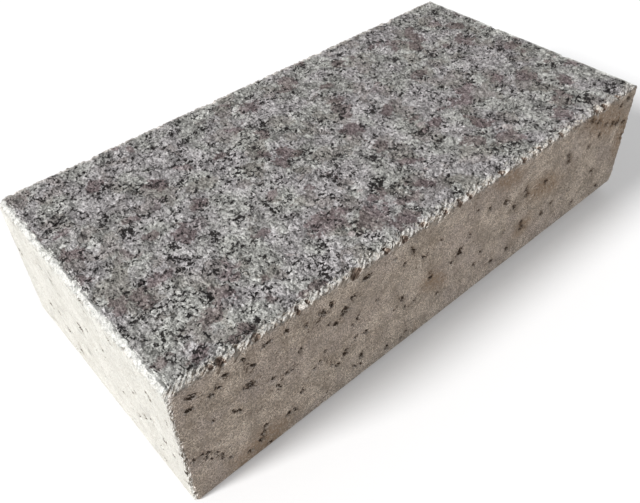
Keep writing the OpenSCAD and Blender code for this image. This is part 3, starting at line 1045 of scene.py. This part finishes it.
# %% The granite material and its groups
granite = bpy.data.materials.new("granite")
granite.use_nodes = True
work_in(granite.node_tree)
shader = granite.node_tree.nodes["Principled BSDF"]
stone_mm = in_millimetres(add("ShaderNodeTexCoord").outputs["Object"])


def mask(title):
    return add("ShaderNodeAttribute", attribute_name=title).outputs["Fac"]


grains = use_group(
    minerals, Place=stone_mm, Plum_Mark=mask("plum"), Black_Mark=mask("black"), Pale_Mark=mask("pale"),
)
side = use_group(
    sawn_side, Place=stone_mm, Minerals=grains["Colour"], Pit_Mark=mask("pits"), Rust_Mark=mask("rust"),
)
print("granite:", len(granite.node_tree.nodes), "nodes so far")

# %% [markdown]
# Crumbled edges are powdered: crushed grains are pale on their ridges, and the dark between them is
# painted shade of the grooves. On the ends the powder is almost white, whiter than the light on the
# wearing face makes it: painted sunlight, as bright as the sunlit end. A fresh chip shows a little brown,
# and the deep notches are brown all through, darkest where painted shade fills them.

# %% Powder, fresh chips and brown notches, with painted shade in grooves and notches
crumb = crumbled_edges(stone_mm)
ridges = teeth(stone_mm, 1.2)
# the dark low stops are painted shade in the grooves between the crushed ridges
powder_and_groove_shade = steps_of_colour(ridges, [
    (0.36, (0.12, 0.092, 0.075, 1)),
    (0.43, (0.42, 0.38, 0.33, 1)),
    (0.5, (0.78, 0.755, 0.7, 1)),
    (0.6, (0.92, 0.91, 0.87, 1)),
])
to_end, to_side, _, _ = distances_to_faces(stone_mm)
end_share = ease(calc("SUBTRACT", to_side, to_end), -0.5, 0.5)
# painted sunlight: the powder on the ends is made as white as the sunlit end face
powder_painted_as_sunlit = tint(0.85, powder_and_groove_shade, (0.97, 0.97, 0.93, 1))
powder_and_groove_shade = tint(end_share, powder_and_groove_shade, powder_painted_as_sunlit)
coat = ease(split(stone_mm)[0], 0.0, 60.0, 0.75, 0.5)
rubbed = tint(mixed(end_share, coat, 0.97), grains["Colour"], powder_and_groove_shade)
fresh = tint(0.25, powder_and_groove_shade, (0.4, 0.31, 0.24, 1))
# painted shade: the darkest notch colours are the shade inside the recess, the rest brown stone
notch_brown_and_shade = steps_of_colour(ridges, [
    (0.4, (0.06, 0.043, 0.034, 1)),
    (0.48, (0.19, 0.138, 0.11, 1)),
    (0.55, (0.35, 0.27, 0.215, 1)),
    (0.6, (0.8, 0.745, 0.67, 1)),
])
print("powder and notches done,", len(granite.node_tree.nodes), "nodes")

# %% [markdown]
# The finishes lie over one another in the order in which the stone got them: flamed or sawn first, then
# the large breaks, the crumbled edges, and the chips and notches. Stone is dull, and only the mica shines
# a little.

# %% Colour and roughness
chipped = ease(mask("chipped"), -0.05, 0.2)
notched = ease(mask("notched"), 0.0, 0.5)
colour = tint(mask("flamed"), side["Colour"], grains["Colour"])
colour = tint(mask("broken"), colour, tint(0.6, grains["Colour"], powder_and_groove_shade))
colour = tint(crumb, colour, rubbed)
colour = tint(chipped, colour, fresh)
colour = tint(notched, colour, notch_brown_and_shade)
feed(shader.inputs["Base Color"], colour)
feed(shader.inputs["Roughness"], mixed(grains["Mica And Crevice Shade"], 0.85, 0.5))
shader.inputs["Specular IOR Level"].default_value = 0.15
print("colours done,", len(granite.node_tree.nodes), "nodes")

# %% [markdown]
# The finest relief is bump, on top of the real relief: facets of two sizes and some grit where the grains
# are broken, and the saw's fine lines and sand elsewhere. Heights are in millimetres, so the distance is
# one.

# %% Bump
large = use_group(facets, Place=stone_mm, Grains_Per_Millimetre=0.9, Tilt=0.3)["Height"]
small = use_group(facets, Place=stone_mm, Grains_Per_Millimetre=2.2, Tilt=0.4)["Height"]
grit = chain("ADD", large, small, calc("MULTIPLY", noise(stone_mm, 1.6, 4, 0.75), 0.4))
height_map = mixed(mask("flamed"), side["Height"], grit)
height_map = mixed(crumb, height_map, grit)
bump = add("ShaderNodeBump")
bump.inputs["Distance"].default_value = MM
feed(bump.inputs["Height"], height_map)
feed(shader.inputs["Normal"], bump.outputs[0])
print("granite:", len(granite.node_tree.nodes), "nodes")

# %% [markdown]
# ## Make the stone
#
# The tree runs on an empty object, and its result is turned into a plain mesh, so that the stone no longer
# needs the block or the clouds of marks.


# %% Run the tree
def socket_key(tree, title):
    return next(s.identifier for s in tree.interface.items_tree if s.name == title and s.in_out == "INPUT")


def plain_mesh(source, name):
    """The evaluated result of an object's modifiers as a mesh of its own."""
    graph = bpy.context.evaluated_depsgraph_get()
    result = source.evaluated_get(graph)
    mesh = bpy.data.meshes.new_from_object(result, preserve_all_data_layers=True, depsgraph=graph)
    mesh.name = name
    return mesh


grower = bpy.data.objects.new("grower", bpy.data.meshes.new("grower"))
bpy.context.scene.collection.objects.link(grower)
maker = grower.modifiers.new("stone", "NODES")
maker.node_group = shape_tree
clouds = (plum_marks, black_marks, pale_marks, pit_marks, end_marks, notch_marks, rust_marks)
for title, value in {"Block": block, "Granite": granite, **dict(zip(MARK_KINDS, clouds))}.items():
    maker[socket_key(shape_tree, title)] = value
fine_mesh = plain_mesh(grower, "fine_stone")
fine_mesh.calc_loop_triangles()
triangles = len(fine_mesh.loop_triangles)
print("fine mesh:", triangles, "triangles")

# %% [markdown]
# That mesh has over a million triangles, most of them on the flat sawn sides, where they do nothing. The
# Decimate modifier merges those first and keeps them where the surface is rough. Merging can push a point
# a hair outside the block, so in the end every point is held inside its box.

# %% Thin out the mesh
MOST_TRIANGLES = 190_000
SHARPEST_SMOOTH_ANGLE = math.radians(40)
paver = bpy.data.objects.new("granite_paver", fine_mesh)
bpy.context.scene.collection.objects.link(paver)
thinner = paver.modifiers.new("thinner", "DECIMATE")
thinner.ratio = MOST_TRIANGLES / triangles
thin_mesh = plain_mesh(paver, "granite_paver")
paver.modifiers.clear()
paver.data = thin_mesh
thin_mesh.shade_smooth()
thin_mesh.set_sharp_from_angle(angle=SHARPEST_SMOOTH_ANGLE)
for vertex in thin_mesh.vertices:
    vertex.co = [min(max(value, low[axis]), high[axis]) for axis, value in enumerate(vertex.co)]
for helper in (grower, *clouds):
    bpy.data.objects.remove(helper)
print("thinned mesh:", len(thin_mesh.polygons), "faces,", [a.name for a in thin_mesh.attributes])

# %% [markdown]
# ## Light and floor
#
# The photo was taken in bright daylight from the left. It washes the near end out almost to white, rakes
# across the wearing face and leaves the front in a warm shade. One soft sun lamp does that, with a plain
# sky for the shade. The floor shows white to the camera, but gives the stone only the warm bounce of an
# ordinary floor.

# %% Sun and sky
SUN_STRENGTH = 3.7
SUN_WIDTH = math.radians(14)
TOWARDS_SUN = Vector((-0.96, 0.16, 0.64))
SKY_LIGHT = (0.4, 0.4, 0.405, 1)
SKY_SHOWN = (1, 1, 1, 1)
sun = bpy.data.objects.new("sun", bpy.data.lights.new("sun", "SUN"))
bpy.context.scene.collection.objects.link(sun)
sun.data.energy = SUN_STRENGTH
sun.data.angle = SUN_WIDTH
sun.rotation_mode = "QUATERNION"
sun.rotation_quaternion = TOWARDS_SUN.to_track_quat("Z", "Y")


def seen_directly():
    """1 for rays that show a thing, straight or in a reflection, and 0 for those that carry its light."""
    path = add("ShaderNodeLightPath").outputs
    return chain("MAXIMUM", path["Is Camera Ray"], path["Is Glossy Ray"], path["Is Transmission Ray"])


world = bpy.data.worlds.new("studio")
bpy.context.scene.world = world
world.use_nodes = True
work_in(world.node_tree)
sky = world.node_tree.nodes["Background"]
feed(sky.inputs["Color"], tint(seen_directly(), SKY_LIGHT, SKY_SHOWN))
print("sun and sky ready")

# %% Floor
FLOOR_HALF_M = 3.0
FLOOR_LIGHT = (0.42, 0.33, 0.25, 1)
FLOOR_SHOWN = (0.8, 0.8, 0.8, 1)
FLOOR_GLOW = 0.2
floor_mesh = bpy.data.meshes.new("floor")
corners = [(x * FLOOR_HALF_M, y * FLOOR_HALF_M, 0) for x, y in ((-1, -1), (1, -1), (1, 1), (-1, 1))]
floor_mesh.from_pydata(corners, [], [(0, 1, 2, 3)])
floor = bpy.data.objects.new("floor", floor_mesh)
bpy.context.scene.collection.objects.link(floor)
floor_paint = bpy.data.materials.new("pale floor")
floor_paint.use_nodes = True
floor_mesh.materials.append(floor_paint)
work_in(floor_paint.node_tree)
surface = floor_paint.node_tree.nodes["Principled BSDF"]
surface.inputs["Roughness"].default_value = 1.0
surface.inputs["Specular IOR Level"].default_value = 0.0
seen = seen_directly()
feed(surface.inputs["Base Color"], tint(seen, FLOOR_LIGHT, FLOOR_SHOWN))
surface.inputs["Emission Color"].default_value = (1, 1, 1, 1)
feed(surface.inputs["Emission Strength"], calc("MULTIPLY", seen, FLOOR_GLOW))
print("floor ready")

# %% [markdown]
# ## Putting the stone in place
#
# The stone replaces the plain block, rides on the only body there is and wears the granite material.

# %% Finish
bpy.context.scene.view_settings.view_transform = "Standard"
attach(paver, "root")
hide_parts("paving_stone")
bpy.context.view_layer.update()
